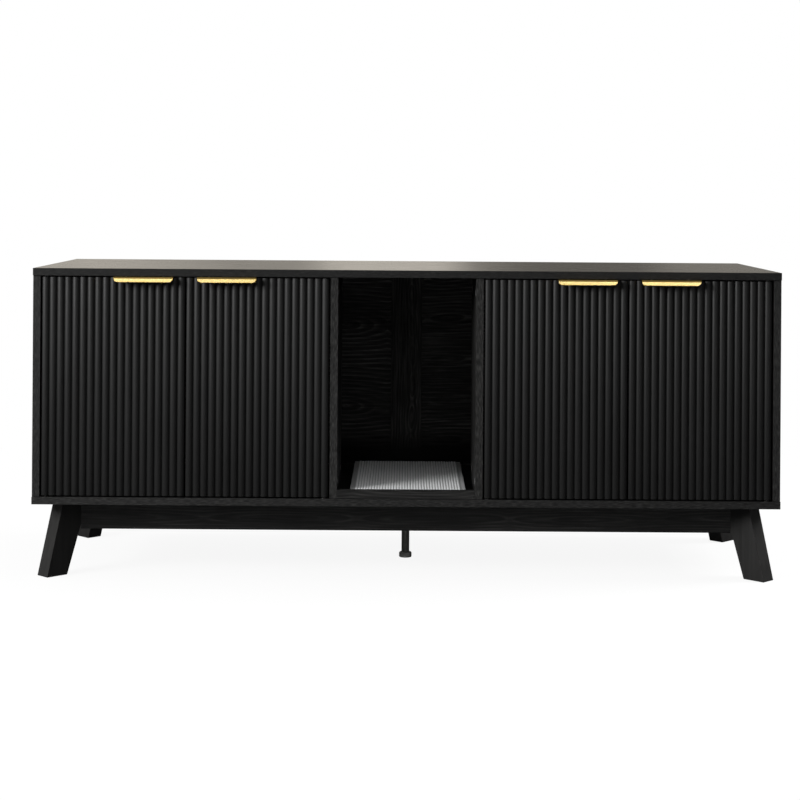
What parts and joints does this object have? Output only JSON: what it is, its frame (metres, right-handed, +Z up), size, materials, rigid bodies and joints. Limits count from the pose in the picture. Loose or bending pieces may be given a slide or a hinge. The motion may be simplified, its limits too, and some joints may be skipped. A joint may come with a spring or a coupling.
{
  "type": "cat litter box cabinet",
  "caption": "Long black sideboard on splayed legs, with litter box compartments behind ribbed double doors on either side of an open bay that holds a scratch pad.",
  "frame": {"origin": "on the floor, in the middle of the overall box, door pulls included", "axes": "+X to the right seen from the front, +Y to the back, +Z up"},
  "size_m": [1.8, 0.617, 0.746],
  "materials": {
    "black_oak_board": "matt black laminate with an oak grain",
    "black_door": "smooth satin black on ribbed fibreboard",
    "black_leg": "smooth satin black",
    "gold_pull": "satin gold",
    "zinc_steel": "zinc-plated",
    "dark_steel": "dark grey paint",
    "black_nylon": "moulded black nylon",
    "grey_ribbed_pad": "light grey ribbed cord on a board"
  },
  "bodies": {
    "carcass": {"top_panel": "black_oak_board", "bottom_panel": "black_oak_board", "side_panel_left": "black_oak_board", "side_panel_right": "black_oak_board", "divider_left": "black_oak_board", "divider_right": "black_oak_board", "back_panel_left": "black_oak_board", "back_panel_right": "black_oak_board", "back_stile": "black_oak_board", "bay_lip": "black_oak_board", "front_apron": "black_oak_board", "right_apron": "black_oak_board", "rear_apron": "black_oak_board", "left_apron": "black_oak_board", "leg_front_left": "black_leg", "leg_bracket_front_left": "zinc_steel", "leg_front_right": "black_leg", "leg_bracket_front_right": "zinc_steel", "leg_rear_right": "black_leg", "leg_bracket_rear_right": "zinc_steel", "leg_rear_left": "black_leg", "leg_bracket_rear_left": "zinc_steel", "door_catch_left": "black_nylon", "cam_lock_top_front_left": "zinc_steel", "cam_lock_top_rear_left": "zinc_steel", "cam_lock_bottom_front_left": "zinc_steel", "cam_lock_bottom_rear_left": "zinc_steel", "door_catch_right": "black_nylon", "cam_lock_top_front_right": "zinc_steel", "cam_lock_top_rear_right": "zinc_steel", "cam_lock_bottom_front_right": "zinc_steel", "cam_lock_bottom_rear_right": "zinc_steel", "pivot_pin_top_outer_left": "zinc_steel", "pivot_pin_bottom_outer_left": "zinc_steel", "pivot_pin_top_inner_left": "zinc_steel", "pivot_pin_bottom_inner_left": "zinc_steel", "pivot_pin_top_inner_right": "zinc_steel", "pivot_pin_bottom_inner_right": "zinc_steel", "pivot_pin_top_outer_right": "zinc_steel", "pivot_pin_bottom_outer_right": "zinc_steel", "support_socket": "black_nylon"},
    "outer_left_door": {"door_outer_left": "black_door", "pull_outer_left": "gold_pull", "pivot_bush_top_outer_left": "black_nylon", "pivot_bush_bottom_outer_left": "black_nylon"},
    "inner_left_door": {"door_inner_left": "black_door", "pull_inner_left": "gold_pull", "pivot_bush_top_inner_left": "black_nylon", "pivot_bush_bottom_inner_left": "black_nylon"},
    "inner_right_door": {"door_inner_right": "black_door", "pull_inner_right": "gold_pull", "pivot_bush_top_inner_right": "black_nylon", "pivot_bush_bottom_inner_right": "black_nylon"},
    "outer_right_door": {"door_outer_right": "black_door", "pull_outer_right": "gold_pull", "pivot_bush_top_outer_right": "black_nylon", "pivot_bush_bottom_outer_right": "black_nylon"},
    "pad": {"scratch_pad": "grey_ribbed_pad"},
    "adjustable_foot": {"support_rod": "dark_steel", "support_foot": "black_nylon"}
  },
  "joints": [
    {"name": "outer_left_door_hinge", "type": "hinge", "parent": "carcass", "child": "outer_left_door", "pos_m": [-0.8681, -0.277, 0.199], "axis": [0, 0, -1], "range_deg": [0, 95]},
    {"name": "inner_left_door_hinge", "type": "hinge", "parent": "carcass", "child": "inner_left_door", "pos_m": [-0.1975, -0.277, 0.199], "axis": [0, 0, 1], "range_deg": [0, 95]},
    {"name": "inner_right_door_hinge", "type": "hinge", "parent": "carcass", "child": "inner_right_door", "pos_m": [0.1975, -0.277, 0.199], "axis": [0, 0, -1], "range_deg": [0, 95]},
    {"name": "outer_right_door_hinge", "type": "hinge", "parent": "carcass", "child": "outer_right_door", "pos_m": [0.8681, -0.277, 0.199], "axis": [0, 0, 1], "range_deg": [0, 95]},
    {"name": "pad_lift", "type": "slide", "parent": "carcass", "child": "pad", "axis": [0, 0, 1], "range_m": [0, 0.25]},
    {"name": "foot_travel", "type": "slide", "parent": "carcass", "child": "adjustable_foot", "axis": [0, 0, 1], "range_m": [0, 0.012]}
  ]
}
